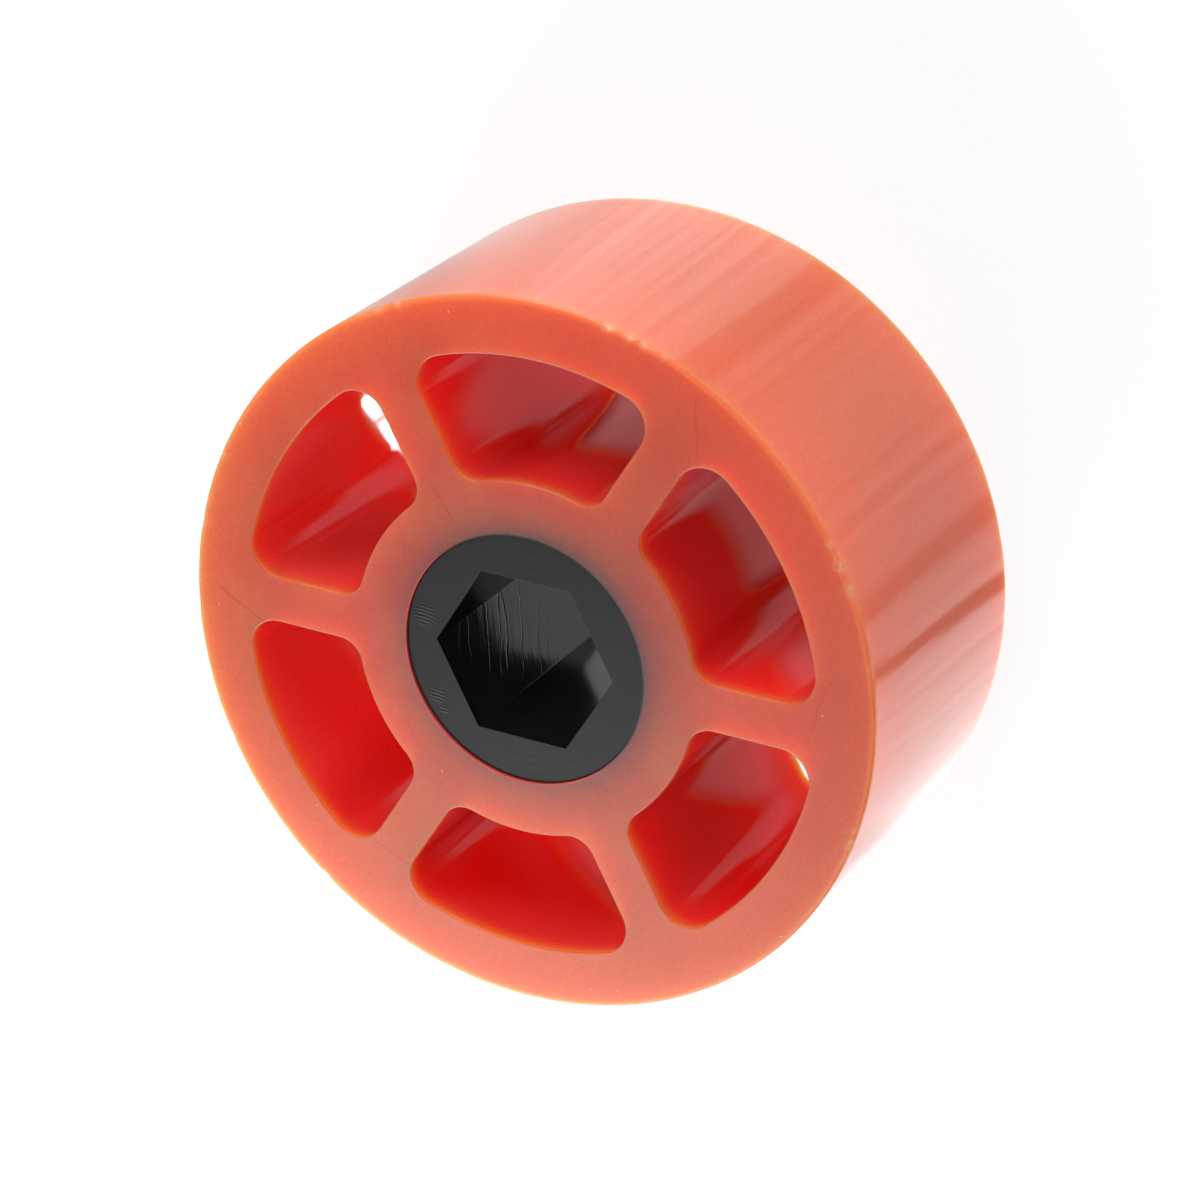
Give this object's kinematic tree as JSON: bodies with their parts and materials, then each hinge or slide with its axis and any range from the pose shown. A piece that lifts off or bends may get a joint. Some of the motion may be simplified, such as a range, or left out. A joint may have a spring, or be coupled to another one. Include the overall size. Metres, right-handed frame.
{
  "type": "compliant wheel",
  "caption": "Soft one-piece elastomer wheel with open cells between its spokes, bonded round a hard hub with a hexagonal bore; it turns with its shaft and gives where it grips.",
  "frame": {"origin": "on the axle axis, in the lower end face that the wheel lies on", "axes": "+Z along the axle axis, up out of the wheel; +X along a spoke and towards a corner of the hexagonal bore"},
  "size_m": [0.0572, 0.0572, 0.0254],
  "materials": {
    "orange_elastomer": "satin",
    "black_plastic": "satin"
  },
  "bodies": {
    "root": {"wheel_body": "orange_elastomer", "hex_hub": "black_plastic"}
  },
  "joints": []
}
